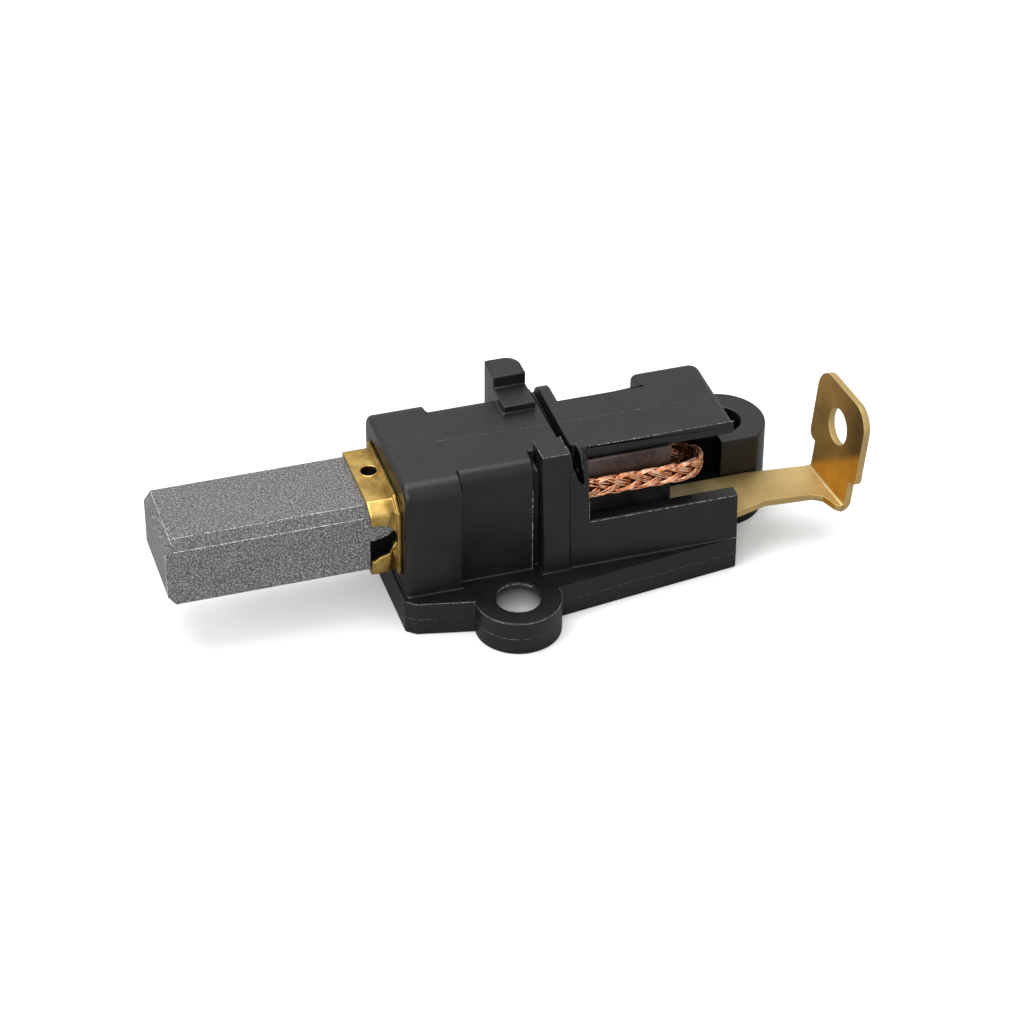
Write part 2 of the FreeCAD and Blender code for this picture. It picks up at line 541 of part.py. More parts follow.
held(route, "start", Sketcher.Constraint("DistanceX", -1, 1, 0, 1, start_x), ref(start_text))
held(route, "turn", Sketcher.Constraint("DistanceX", -1, 1, 0, 2, turn_x), ref("braid_turn_x"))
held(route, "end", Sketcher.Constraint("DistanceX", -1, 1, 2, 2, end_x), ref("braid_end_x"))
held(route, "bend", Sketcher.Constraint("Radius", 1, turn_rad), turn_text + " / 2")
# The section is turned by the plane's tilt, so that the outer run stands upright beside the tube
tilt_text = "atan(sizes.braid_lift / %s)" % ref("braid_out_y")
tilt = FreeCAD.Rotation(V(0, 0, -1), math.degrees(math.atan2(rise, out_y)))
section = new_sketch(braid, "section", "YZ_Plane", FreeCAD.Placement(V(0, 0, start_x), tilt))
lift(section, start_text)
section.setExpression("AttachmentOffset.Rotation.Angle", tilt_text)
thick, straight = val("braid_thick"), val("braid_wide") - val("braid_thick")
section.addGeometry(Part.LineSegment(V(thick, -straight, 0), V(thick, straight, 0)), False)
section.addGeometry(Part.ArcOfCircle(Part.Circle(V(0, straight, 0), V(0, 0, 1), thick), 0, math.pi), False)
section.addGeometry(Part.LineSegment(V(-thick, straight, 0), V(-thick, -straight, 0)), False)
section.addGeometry(Part.ArcOfCircle(Part.Circle(V(0, -straight, 0), V(0, 0, 1), thick), math.pi, 2 * math.pi), False)
for a, b, end in ((0, 1, 1), (2, 1, 2)):
    section.addConstraint(Sketcher.Constraint("Tangent", a, 2 if a == 0 else 1, b, end))
section.addConstraint(Sketcher.Constraint("Tangent", 2, 2, 3, 1))
section.addConstraint(Sketcher.Constraint("Tangent", 0, 1, 3, 2))
section.addConstraint(Sketcher.Constraint("PointOnObject", 1, 3, -2))
section.addConstraint(Sketcher.Constraint("PointOnObject", 3, 3, -2))
held(section, "upper", Sketcher.Constraint("DistanceY", -1, 1, 1, 3, straight), ref("braid_wide - braid_thick"))
held(section, "lower", Sketcher.Constraint("DistanceY", -1, 1, 3, 3, -straight), ref("braid_thick - braid_wide"))
held(section, "edge", Sketcher.Constraint("Radius", 1, thick), ref("braid_thick"))
doc.recompute()
run = braid.newObject("PartDesign::AdditivePipe", "braid_run")
run.Profile = section
run.Spine = (route, ["Edge1", "Edge2", "Edge3"])
section.Visibility = route.Visibility = False
braid.Placement = FreeCAD.Placement(V(0, 0, val("braid_in_z")), FreeCAD.Rotation(V(-1, 0, 0), 1.0))
braid.setExpression("Placement.Base.z", ref("braid_in_z"))
braid.setExpression("Placement.Rotation.Angle", tilt_text)
doc.recompute()
area = math.pi * thick ** 2 + 4 * thick * straight
length = (turn_x - start_x) + math.pi * turn_rad + (turn_x - end_x)
print("braid: length %.2f mm, half turn radius %.2f mm, volume over section x length %.4f"
      % (length, turn_rad, braid.Shape.Volume / (area * length)))

# Compression spring between the carbon's tail and the tube's stop
spring = new_body("brush_spring")
sk = new_sketch(spring, "wire_sketch", "XZ_Plane", FreeCAD.Placement(V(0, val("spring_z"), 0), FreeCAD.Rotation()))
sk.setExpression("AttachmentOffset.Base.y", ref("spring_z"))
ring(sk, "carbon_tail_x + wire_rad + 0.01", "spring_rad", "wire_rad")
doc.recompute()
coil = spring.newObject("PartDesign::AdditiveHelix", "coil")
coil.Profile = sk
coil.ReferenceAxis = (sk, ["H_Axis"])
coil.Mode = "height-turns-angle"
coil.Height = num("tube_rear_x - sheet - carbon_tail_x - wire_rad - wire_rad - 0.02")
coil.setExpression("Height", ref("tube_rear_x - sheet - carbon_tail_x - wire_rad - wire_rad - 0.02"))
coil.Turns = val("spring_turns")
coil.setExpression("Turns", ref("spring_turns"))
sk.Visibility = False
doc.recompute()


def turned(body, role, spot, yaw, lean):
    """The sketch offset that puts a plane at a spot, turned about Z and then leant toward +X."""
    base = plane(body, role).Placement
    turn = FreeCAD.Rotation(V(0, 0, 1), yaw) * FreeCAD.Rotation(V(0, 1, 0), lean)
    return base.inverse() * FreeCAD.Placement(spot, turn) * base


# Terminal: flat strip under the tube, a bend, and the upright tab with its screw hole
terminal = new_body("terminal")
yaw, lean = val("tab_yaw"), val("tab_lean")
side = V(-math.sin(math.radians(yaw)), math.cos(math.radians(yaw)), 0)
bend_at = V(val("bend_x"), val("tab_y"), val("tube_low_z") + val("bend_in"))
low_z = "tube_low_z - strip_thick"
sk = new_sketch(terminal, "strip_sketch", "XY_Plane", at_height(low_z))
lift(sk, low_z)
shift_x = math.sin(math.radians(yaw)) * val("neck_half")
shift_y = math.cos(math.radians(yaw)) * val("neck_half")
outline(sk, [("strip_start_x", "strip_far"), ("strip_start_x", "-strip_near"), ("rear_x + 0.15", "-strip_near"),
             ("rear_x + 0.15", "-strip_near - 0.85"), ("rear_x + 4.2", "-strip_near + 0.35"),
             ("bend_x - 2", "-strip_near - 0.05"), ("bend_x - 0.9", "-strip_near - 0.75"),
             ("bend_x - 0.2", "tab_y - %.4f + 0.5" % shift_y), ("bend_x + %.4f + bend_lap" % shift_x, "tab_y - %.4f" % shift_y),
             ("bend_x - %.4f + bend_lap" % shift_x, "tab_y + %.4f" % shift_y), ("rear_x + 4", "strip_far")])
doc.recompute()
pad(terminal, sk, "strip_thick", "strip")
edge_at = bend_at + side * val("neck_half")
sk = new_sketch(terminal, "bend_sketch", "XZ_Plane", turned(terminal, "XZ_Plane", edge_at, yaw, 0.0))
inner, outer, stop = val("bend_in"), val("bend_in") + val("strip_thick"), math.radians(-lean)
away = V(math.cos(stop), math.sin(stop), 0)
sk.addGeometry(Part.LineSegment(V(0, -outer, 0), V(0, -inner, 0)), False)
sk.addGeometry(Part.ArcOfCircle(Part.Circle(V(0, 0, 0), V(0, 0, 1), inner), -math.pi / 2, stop), False)
sk.addGeometry(Part.LineSegment(away * inner, away * outer), False)
sk.addGeometry(Part.ArcOfCircle(Part.Circle(V(0, 0, 0), V(0, 0, 1), outer), -math.pi / 2, stop), False)
for link in ((0, 2, 1, 1), (1, 2, 2, 1), (2, 2, 3, 2), (3, 1, 0, 1), (1, 3, -1, 1), (3, 3, -1, 1)):
    sk.addConstraint(Sketcher.Constraint("Coincident", *link))
sk.addConstraint(Sketcher.Constraint("PointOnObject", 0, 1, -2))
sk.addConstraint(Sketcher.Constraint("PointOnObject", 0, 2, -2))
held(sk, "inner", Sketcher.Constraint("Radius", 1, inner), ref("bend_in"))
held(sk, "outer", Sketcher.Constraint("Radius", 3, outer), ref("bend_in + strip_thick"))
drop = math.sin(-stop)
held(sk, "rise", Sketcher.Constraint("DistanceY", -1, 1, 2, 1, -inner * drop),
     "-sizes.bend_in * sin(sizes.tab_lean * 1 deg)")
held(sk, "out", Sketcher.Constraint("DistanceY", -1, 1, 2, 2, -outer * drop),
     "-(sizes.bend_in + sizes.strip_thick) * sin(sizes.tab_lean * 1 deg)")
doc.recompute()
pad(terminal, sk, "neck_half + neck_half", "bend")
normal = FreeCAD.Rotation(V(0, 0, 1), yaw) * FreeCAD.Rotation(V(0, 1, 0), lean)
face_at = bend_at + normal.multVec(V(1, 0, 0)) * val("bend_in")
sk = new_sketch(terminal, "tab_sketch", "YZ_Plane", turned(terminal, "YZ_Plane", face_at, yaw, lean))
outline(sk, [("-neck_half", "0"), ("neck_half", "0"), ("neck_half", "head_low"), ("head_half", "head_low"),
             ("head_half", "head_top"), ("-head_half", "head_top"), ("-head_half", "head_low"),
             ("-neck_half", "head_low")])
doc.recompute()
pad(terminal, sk, "strip_thick", "tab")


def tab_corners(low):
    """Edges through the tab's thickness at the head's upper or lower corners."""
    found, up = [], normal.multVec(V(0, 0, 1))
    for i, edge in enumerate(terminal.Tip.Shape.Edges, start=1):
        if len(edge.Vertexes) != 2 or not near(edge.Length, val("strip_thick"), 1e-3):
            continue
        at = (edge.Vertexes[0].Point + edge.Vertexes[1].Point) * 0.5 - face_at
        height, wide = at.dot(up), abs(at.dot(side))
        goal = val("head_low") if low else val("head_top")
        if near(height, goal, 0.01) and near(wide, val("head_half"), 0.01):
            found.append("Edge%d" % i)
    return found


dress(terminal, "Fillet", "head_rounds", tab_corners(False), "head_round", "Radius")
dress(terminal, "Fillet", "shoulder_rounds", tab_corners(True), "shoulder_round", "Radius")
sk = new_sketch(terminal, "tab_hole_sketch", "YZ_Plane", turned(terminal, "YZ_Plane", face_at, yaw, lean))
geo = sk.addGeometry(Part.Circle(V(0, val("tab_hole_t"), 0), V(0, 0, 1), val("tab_hole")), False)
sk.addConstraint(Sketcher.Constraint("PointOnObject", geo, 3, -2))
held(sk, "height", Sketcher.Constraint("DistanceY", -1, 1, geo, 3, val("tab_hole_t")), ref("tab_hole_t"))
held(sk, "size", Sketcher.Constraint("Radius", geo, val("tab_hole")), ref("tab_hole"))
doc.recompute()
pocket(terminal, sk, "strip_thick + 0.5", "tab_hole", True)

# Every object must be sound before anything is written
nodes = [housing, tube, carbon, plug, braid, spring, terminal]
doc.recompute()
for obj in doc.Objects:
    if "Invalid" in obj.State or "Error" in obj.State:
        raise RuntimeError(obj.Label + " is in state " + str(obj.State))
os.makedirs("parts", exist_ok=True)
for node in nodes:
    if node.Shape.isNull() or not node.Shape.isValid() or len(node.Shape.Solids) != 1:
        raise RuntimeError(node.Label + " has no single valid solid")
    box = node.Shape.BoundBox
    print("%-13s x %7.2f %7.2f  y %7.2f %7.2f  z %6.2f %6.2f  volume %8.1f" % (
        node.Label, box.XMin, box.XMax, box.YMin, box.YMax, box.ZMin, box.ZMax, node.Shape.Volume))
    node.Shape.exportStep("parts/" + node.Label + ".step")
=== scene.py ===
import math
import random
import bmesh
import bpy
from mathutils import Matrix, Vector
from mathutils.bvhtree import BVHTree


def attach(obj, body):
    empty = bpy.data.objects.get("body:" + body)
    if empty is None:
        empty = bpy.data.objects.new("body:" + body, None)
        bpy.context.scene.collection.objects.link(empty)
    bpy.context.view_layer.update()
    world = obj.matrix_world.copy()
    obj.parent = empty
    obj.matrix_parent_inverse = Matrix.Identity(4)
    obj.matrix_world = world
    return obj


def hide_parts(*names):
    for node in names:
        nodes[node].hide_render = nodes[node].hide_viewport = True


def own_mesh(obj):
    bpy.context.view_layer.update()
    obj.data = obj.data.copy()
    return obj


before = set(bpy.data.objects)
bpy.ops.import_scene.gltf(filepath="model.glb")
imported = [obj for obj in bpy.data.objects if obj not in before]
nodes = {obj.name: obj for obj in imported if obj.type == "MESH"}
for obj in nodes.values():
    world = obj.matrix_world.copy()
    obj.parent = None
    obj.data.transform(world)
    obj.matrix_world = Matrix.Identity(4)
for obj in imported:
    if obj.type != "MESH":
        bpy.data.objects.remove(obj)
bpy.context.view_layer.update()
MM = 0.001
SEED = 7
rng = random.Random(SEED)


# Camera at the photograph's viewing angle
SENSOR, FOCAL_PIXELS, PHOTO_PIXELS = 36.0, 3400.0, 1024.0
CAMERA_TURN = (-0.3049741, 0.9403124, 0.0043927)
CAMERA_SPOT = (-94.584, -294.585, 232.708)


def make_camera():
    data = bpy.data.cameras.new("photo_camera")
    cam = bpy.data.objects.new("photo_camera", data)
    bpy.context.scene.collection.objects.link(cam)
    data.sensor_width = SENSOR
    data.lens = FOCAL_PIXELS / PHOTO_PIXELS * SENSOR
    data.clip_start, data.clip_end = 0.01, 10.0
    first, lean, last = CAMERA_TURN
    turn = Matrix.Rotation(first, 4, "Z") @ Matrix.Rotation(lean, 4, "X") @ Matrix.Rotation(last, 4, "Z")
    cam.matrix_world = Matrix.Translation(Vector(CAMERA_SPOT) * MM) @ turn
    bpy.context.scene.camera = cam


make_camera()


# Node helpers for the materials; each pattern is passed on as an output socket
MIX_FACTOR, MIX_FIRST, MIX_SECOND, MIX_COLOR = 0, 6, 7, 2


def shader_of(mat):
    return mat.node_tree.nodes["Principled BSDF"]


def new_material(name, color, rough, metallic=0.0):
    mat = bpy.data.materials.new(name)
    mat.use_nodes = True
    shader = shader_of(mat)
    shader.inputs["Base Color"].default_value = (*color, 1.0)
    shader.inputs["Roughness"].default_value = rough
    shader.inputs["Metallic"].default_value = metallic
    return mat


def add(mat, kind, **values):
    node = mat.node_tree.nodes.new(kind)
    for key, value in values.items():
        node.inputs[key].default_value = value
    return node


def join(mat, out, node, into):
    mat.node_tree.links.new(out, node.inputs[into])


def place_in(mat, **mapping):
    """Place in the piece's own frame, moved by a mapping where one is given."""
    out = add(mat, "ShaderNodeTexCoord").outputs["Object"]
    if mapping:
        node = add(mat, "ShaderNodeMapping", **mapping)
        join(mat, out, node, "Vector")
        out = node.outputs["Vector"]
    return out


def noise(mat, scale, detail, rough, **mapping):
    node = add(mat, "ShaderNodeTexNoise", Scale=scale, Detail=detail, Roughness=rough)
    join(mat, place_in(mat, **mapping), node, "Vector")
    return node.outputs["Fac"]


def ramp(mat, source, *stops):
    """Colours at places from 0 to 1, blended between them."""
    node = add(mat, "ShaderNodeValToRGB")
    bar = node.color_ramp
    while len(bar.elements) < len(stops):
        bar.elements.new(0.5)
    for elem, (place, color) in zip(bar.elements, stops):
        elem.position = place
        elem.color = (*color, 1.0)
    join(mat, source, node, "Fac")
    return node.outputs["Color"]


def blend(mat, factor, first, second):
    node = add(mat, "ShaderNodeMix")
    node.data_type = "RGBA"
    for out, into in ((factor, MIX_FACTOR), (first, MIX_FIRST), (second, MIX_SECOND)):
        join(mat, out, node, into)
    return node.outputs[MIX_COLOR]


def bump(mat, source, strength, distance, chain=None):
    node = add(mat, "ShaderNodeBump", Strength=strength, Distance=distance)
    join(mat, source, node, "Height")
    if chain is not None:
        join(mat, chain, node, "Normal")
    return node.outputs["Normal"]


def span(mat, vector, axis, low, high):
    """0 below one value of an axis of a vector, 1 above another."""
    parts = add(mat, "ShaderNodeSeparateXYZ")
    join(mat, vector, parts, "Vector")
    node = add(mat, "ShaderNodeMapRange", **{"From Min": low, "From Max": high})
    join(mat, parts.outputs[axis], node, "Value")
    return node.outputs["Result"]


def along(mat, axis, low, high, **mapping):
    """0 below one place on an axis, 1 above another, in metres."""
    return span(mat, place_in(mat, **mapping), axis, low, high)


def dress(mat, color, normal=None):
    """The material with a colour and a normal joined to its shader."""
    join(mat, color, shader_of(mat), "Base Color")
    if normal is not None:
        join(mat, normal, shader_of(mat), "Normal")
    return mat


def shine(mat, source, low, high):
    """Roughness between two values, led by a pattern."""
    node = add(mat, "ShaderNodeMapRange", **{"To Min": low, "To Max": high})
    join(mat, source, node, "Value")
    join(mat, node.outputs["Result"], shader_of(mat), "Roughness")


def grey(value):
    return (value, value, value)


def plastic():
    mat = new_material("black_plastic", (0.006, 0.006, 0.0065), 0.42)
    shader_of(mat).inputs["Specular IOR Level"].default_value = 0.42
    cloud = noise(mat, 260.0, 3.0, 0.55)
    tone = ramp(mat, cloud, (0.3, (0.0025, 0.0025, 0.003)), (0.75, (0.006, 0.006, 0.0065)))
    shine(mat, cloud, 0.30, 0.44)
    grain = bump(mat, noise(mat, 5200.0, 2.0, 0.6), 0.6, 0.00006)
    wave = bump(mat, noise(mat, 700.0, 2.0, 0.5), 0.2, 0.00012, grain)
    return dress(mat, tone, wave)


# Where the looks of the brass change, in metres: tube darker beyond a place, painted shadow under the
# braid, painted light on the strip, tab's heat tint
TUBE_DARK_X, TUBE_DARK_EDGE, BRAID_SHADOW_Z = 0.0046, 0.0012, (0.0118, 0.0158)
PAINTED_LIGHT_X, DEEP_TINT_Y, TINT_Z = (0.017, 0.023), (-0.0088, -0.0052), (0.0051, 0.006)
TINT_TILT = math.radians(35.3)
# A normal's part along an axis from which a face counts as square to it
SQUARE = 0.9


def brass(name="brass_sheet", dark_from_x=None):
    """Brass sheet, darker and purple-grey beyond a place on X where one is given, near black low down as
    painted shadow under the braid.
    """
    mat = new_material(name, (0.60, 0.42, 0.15), 0.3, 1.0)
    tone = ramp(mat, noise(mat, 420.0, 3.0, 0.6), (0.32, (0.30, 0.18, 0.042)), (0.62, (0.60, 0.41, 0.125)))
    streak = noise(mat, 500.0, 3.0, 0.5, Scale=(0.15, 3.0, 3.0))
    lines = bump(mat, streak, 0.12, 0.00003)
    dents = bump(mat, noise(mat, 330.0, 1.0, 0.4), 0.5, 0.0004, lines)
    if dark_from_x is None:
        shine(mat, streak, 0.24, 0.42)
        return dress(mat, tone, dents)
    patchy = noise(mat, 420.0, 4.0, 0.65)
    braid_shadow = ramp(mat, patchy, (0.3, (0.012, 0.011, 0.011)), (0.7, (0.04, 0.036, 0.036)))
    dark_tube = ramp(mat, patchy, (0.3, (0.06, 0.04, 0.035)), (0.55, (0.13, 0.10, 0.092)),
                 (0.75, (0.185, 0.148, 0.14)))
    # Near black low down: painted shadow under the braid
    shade = blend(mat, along(mat, "Z", *BRAID_SHADOW_Z), braid_shadow, dark_tube)
    beyond = along(mat, "X", dark_from_x - TUBE_DARK_EDGE, dark_from_x)
    shine(mat, beyond, 0.33, 0.55)
    return dress(mat, blend(mat, beyond, tone, shade), dents)


def tab_brass():
    """Brass strip: painted light on the strip inside the bay, plain brass beyond it and on the tab's edges,
    orange low on the tab's face, brown heat tint above it.
    """
    mat = new_material("terminal_brass", (0.60, 0.42, 0.15), 0.32, 0.82)
    cloud = noise(mat, 260.0, 3.0, 0.6)
    inner, outer, orange, deep, brown = [ramp(mat, cloud, (0.3, low), (0.7, high)) for low, high in (
        ((0.86, 0.70, 0.38), (1.0, 0.86, 0.52)), ((0.42, 0.30, 0.115), (0.55, 0.395, 0.17)),
        ((0.56, 0.25, 0.02), (0.72, 0.35, 0.035)), ((0.13, 0.075, 0.018), (0.24, 0.14, 0.035)),
        ((0.30, 0.165, 0.035), (0.47, 0.275, 0.065)))]
    # The strip inside the bay is painted lighter: painted light where little light reaches it
    plain = blend(mat, along(mat, "X", *PAINTED_LIGHT_X), inner, outer)
    tint = blend(mat, along(mat, "Y", *DEEP_TINT_Y), deep, brown)
    up = along(mat, "Z", *TINT_Z, Rotation=(TINT_TILT, 0.0, 0.0))
    upper = blend(mat, up, orange, tint)
    # Only the tab's face toward the guide tube is tinted
    normal = add(mat, "ShaderNodeNewGeometry").outputs["Normal"]
    face = span(mat, normal, "X", -0.75, -SQUARE)
    shine(mat, noise(mat, 500.0, 3.0, 0.5, Scale=(3.0, 3.0, 0.2)), 0.38, 0.55)
    return dress(mat, blend(mat, face, plain, upper))


def copper(name="copper_wire", dark=(0.68, 0.25, 0.115), light=(1.0, 0.64, 0.43), rough=0.29):
    mat = new_material(name, light, rough, 1.0)
    return dress(mat, ramp(mat, noise(mat, 1400.0, 3.0, 0.6), (0.38, dark), (0.6, light)))


def carbon():
    mat = new_material("carbon", (0.11, 0.107, 0.105), 0.55)
    worm = noise(mat, 5200.0, 3.0, 0.6)
    tone = ramp(mat, worm, (0.37, (0.034, 0.031, 0.030)), (0.5, (0.085, 0.082, 0.081)),
                (0.63, (0.24, 0.235, 0.232)))
    return dress(mat, tone, bump(mat, worm, 0.5, 0.00006))


def rough_carbon():
    """Broken carbon, as the sawn and chipped corner shows it."""
    mat = new_material("rough_carbon", grey(0.1), 0.38)
    spots = noise(mat, 6000.0, 4.0, 0.75)
    tone = ramp(mat, spots, (0.38, grey(0.028)), (0.54, (0.085, 0.083, 0.082)), (0.68, grey(0.42)))
    return dress(mat, tone, bump(mat, spots, 0.9, 0.00012))


def steel():
    return new_material("spring_wire", (0.42, 0.42, 0.43), 0.32, 1.0)


def pale_plastic(name, dark, light):
    """Plastic paler than the moulded faces: at flash lines, and as painted highlights along edges and the
    walls' feet.
    """
    mat = new_material(name, grey(light), 0.5)
    spots = noise(mat, 2600.0, 2.0, 0.6)
    return dress(mat, ramp(mat, spots, (0.4, grey(dark)), (0.62, grey(light))))


# Near black standing in for shade: painted shade in the bay, in the slot's foot and on the carbon under the
# tube
def painted_black_shade():
    mat = new_material("painted_black_shade", grey(0.0015), 0.9)
    shader_of(mat).inputs["Specular IOR Level"].default_value = 0.05
    return mat


def hole_wall_reflection():
    """Screw hole's wall with a painted reflection of the floor, pale toward its foot."""
    mat = new_material("hole_wall_reflection", grey(0.1), 0.5)
    low = along(mat, "Z", 0.0006, 0.0036)
    return dress(mat, ramp(mat, low, (0.0, grey(0.75)), (0.45, grey(0.30)), (1.0, grey(0.012))))


MATS = {"housing": plastic(), "brass": brass(), "carbon": carbon(), "copper": copper(),
        "spring_steel": steel()}
COPPER_HALF_SHADE = copper("copper_half_shade", (0.42, 0.12, 0.045), (0.84, 0.38, 0.21), 0.32)
COPPER_IN_SHADE = copper("copper_painted_shade", (0.07, 0.016, 0.006), (0.22, 0.07, 0.03), 0.45)
GLINT = pale_plastic("pale_plastic", 0.05, 0.30)
FLASH = pale_plastic("flash_plastic", 0.015, 0.11)
SHADE = painted_black_shade()
HOLE_REFLECTION = hole_wall_reflection()
SLOTS = {"housing": "housing", "brush_tube": "brass", "carbon_brush": "carbon", "shunt_plug": "copper",
         "shunt_braid": "copper", "brush_spring": "spring_steel", "terminal": "brass"}
for name, slot in SLOTS.items():
    mesh = nodes[name].data
    if not mesh.materials:
        mesh.materials.append(MATS[slot])
    for i in range(len(mesh.materials)):
        mesh.materials[i] = MATS[slot]


def put(name, mesh, body, slot, material=None):
    """A new piece on one of the bodies, in the shared frame."""
    obj = bpy.data.objects.new(name, mesh)
    bpy.context.scene.collection.objects.link(obj)
    mesh.materials.clear()
    mesh.materials.append(material or MATS[slot])
    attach(obj, body)
    return obj


def mesh_from(name, verts, faces, smooth=True):
    mesh = bpy.data.meshes.new(name)
    mesh.from_pydata([tuple(v) for v in verts], [], faces)
    mesh.update()
    for poly in mesh.polygons:
        poly.use_smooth = smooth
    return mesh


# Angles up to which faces are one, and from which an edge is rounded; gaps in metres; a stray point's share
FLAT_ANGLE, SHARP_ANGLE = math.radians(0.6), math.radians(28)
WELD_GAP, CUT_GAP, STEP_GAP = 2e-6, 1e-7, 2e-5
STRAY_SHARE = 0.75


def clean_copy(node):
    """A copy of a solid's mesh with its flat faces whole again."""
    bm = bmesh.new()
    bm.from_mesh(nodes[node].data)
    bmesh.ops.remove_doubles(bm, verts=bm.verts, dist=WELD_GAP)
    bmesh.ops.dissolve_limit(bm, angle_limit=FLAT_ANGLE, use_dissolve_boundaries=False,
                             verts=bm.verts, edges=bm.edges)
    return bm


def rounded(name, node, width, body, slot, segments, material=None, form=None, paint=(), evenness=100):
    """The solid with every sharp edge rounded a little, as moulded and tumbled edges are."""
    bm = clean_copy(node)
    if form:
        form(bm)
    tree = BVHTree.FromBMesh(bm)
    sharp = bpy.data.meshes.new(name + "_sharp")
    bm.to_mesh(sharp)
    bm.free()
    helper = bpy.data.objects.new(name + "_sharp", sharp)
    bpy.context.scene.collection.objects.link(helper)
    mod = helper.modifiers.new("edges", "BEVEL")
    mod.width = width * MM
    mod.segments = segments
    mod.limit_method = "ANGLE"
    mod.angle_limit = SHARP_ANGLE
    mod.use_clamp_overlap = False
    mod.miter_outer = "MITER_SHARP"
    graph = bpy.context.evaluated_depsgraph_get()
    mesh = bpy.data.meshes.new_from_object(helper.evaluated_get(graph))
    bpy.data.objects.remove(helper)
    bpy.data.meshes.remove(sharp)
    # A rounded point lies close to the sharp form; a stray one goes back to it
    for vert in mesh.vertices:
        spot, _, _, gap = tree.find_nearest(vert.co)
        if gap is not None and gap > STRAY_SHARE * width * MM:
            vert.co = spot
    mesh.name = name
    for poly in mesh.polygons:
        poly.use_smooth = True
    obj = put(name, mesh, body, slot, material)
    for number, (other, test) in enumerate(paint, 1):
        mesh.materials.append(other)
        for poly in mesh.polygons:
            if test(poly.center / MM, poly.normal):
                poly.material_index = number
    even = obj.modifiers.new("faces", "WEIGHTED_NORMAL")
    even.weight = evenness
    even.keep_sharp = False
    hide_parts(node)


X_AXIS, Y_AXIS, Z_AXIS = Vector((1, 0, 0)), Vector((0, 1, 0)), Vector((0, 0, 1))


def cut(bm, spot, normal, keep):
    """Cuts the mesh by a plane through a spot, only in faces that pass the test."""
    faces = [f for f in bm.faces if keep(f)]
    edges = list({e for f in faces for e in f.edges})
    verts = list({v for f in faces for v in f.verts})
    bmesh.ops.bisect_plane(bm, geom=edges + verts + faces, dist=CUT_GAP, plane_co=spot, plane_no=normal)


def cut_planes(bm, axis, places, keep):
    """Cuts the mesh square to an axis, at places in mm along it."""
    for place in places:
        cut(bm, axis * (place * MM), axis, keep)


def centre_of(face):
    return face.calc_center_median() / MM


def smooth_step(value, low, high):
    t = min(1.0, max(0.0, (value - low) / (high - low)))
    return t * t * (3 - 2 * t)


# Guide tube's mouth: where its near wall is bent, and how far in mm
NOTCH_X, NOTCH_Y = -16.95, -5.2
LIP_BEND, CORNER_BEND = 0.62, 0.22


def flare(bm):
    """Bends the lower lip of the thumb notch outward, and the corner above it a little."""
    def at_side(face):
        spot = centre_of(face)
        return spot.x < -15.9 and spot.y < -4.2 and abs(face.normal.x) < SQUARE
    cut_planes(bm, X_AXIS, [-19.5 + 0.25 * i for i in range(11)], at_side)
    cut_planes(bm, Z_AXIS, [7.2, 7.7, 8.2, 8.7, 9.1], at_side)
    for vert in bm.verts:
        x, y, z = vert.co / MM
        if x < NOTCH_X and y < NOTCH_Y:
            run = 1 - smooth_step(x, -17.9, NOTCH_X)
            low = (1 - smooth_step(z, 9.6, 10.2)) * (0.35 + 0.65 * smooth_step(z, 6.6, 9.0))
            high = smooth_step(z, 12.6, 13.2)
            vert.co.y -= run * (LIP_BEND * low + CORNER_BEND * high) * MM


# Slot's stepped foot: a step's height, the x that parts its two corners, and their new x, in mm
FOOT_STEPS = ((16.6, 3.6, 3.2, 4.02), (15.4, 3.97, 3.62, 4.15), (14.7, 4.0, 4.06, 4.2))


def at_foot(spot):
    return 2.4 < spot.x < 4.3 and spot.y < -3.8 and spot.z > 14.5


def taper(bm):
    """Draws the slot's foot out to a wedge, where the solid has steps."""
    moved = []
    for vert in bm.verts:
        spot = vert.co / MM
        for height, middle, left, right in FOOT_STEPS:
            if at_foot(spot) and abs(spot.z - height) < 0.02:
                vert.co.x = (left if spot.x < middle else right) * MM
                moved.append(vert)
    bmesh.ops.remove_doubles(bm, verts=moved, dist=STEP_GAP)
    bm.normal_update()
    bent = [f for f in bm.faces if len(f.verts) > 3 and abs(f.normal.x) > 0.5
            and all(at_foot(v.co / MM) for v in f.verts)]
    bmesh.ops.triangulate(bm, faces=bent)


# Housing's parts with a material of their own, in mm: x, y and z of the bay behind the window, painted
# black as shade; screw ear, whose hole's wall has a painted reflection
BAY = ((14.6, 23.3), (-5.95, 7.6), (6.4, 16.85))
EAR_X, EAR_Y, EAR_HOLE = -4.65, -11.4, 2.8


def within(spot, box):
    return all(low < value < high for value, (low, high) in zip(spot, box))


def bay_in_shade(spot, normal):
    outside = (normal.y > 0.4 and spot.y > 5.5) or (normal.x > 0.4 and spot.x > 21.0)
    return within(spot, BAY) and not outside


def slot_foot_in_shade(spot, normal):
    near = -6.2 - 0.9 * max(0.0, min(1.0, (17.6 - spot.z) / 3.0))
    return within(spot, ((2.6, 4.25), (near, -4.2), (14.6, 18.2))) and normal.y > -0.98


def in_screw_hole(spot, normal):
    return math.hypot(spot.x - EAR_X, spot.y - EAR_Y) < EAR_HOLE and abs(normal.z) < 0.6


# Painted shade: the bay and the slot's foot are near black; the screw hole's wall has a painted reflection
# of the floor
rounded("housing_moulding", "housing", 0.2, "holder", "housing", 3, form=taper,
        paint=((SHADE, bay_in_shade), (HOLE_REFLECTION, in_screw_hole), (SHADE, slot_foot_in_shade)))
rounded("guide_tube", "brush_tube", 0.09, "holder", "brass", 3, material=brass("tube_brass", TUBE_DARK_X),
        form=flare, evenness=55)
rounded("terminal_blade", "terminal", 0.05, "holder", "brass", 2, material=tab_brass())


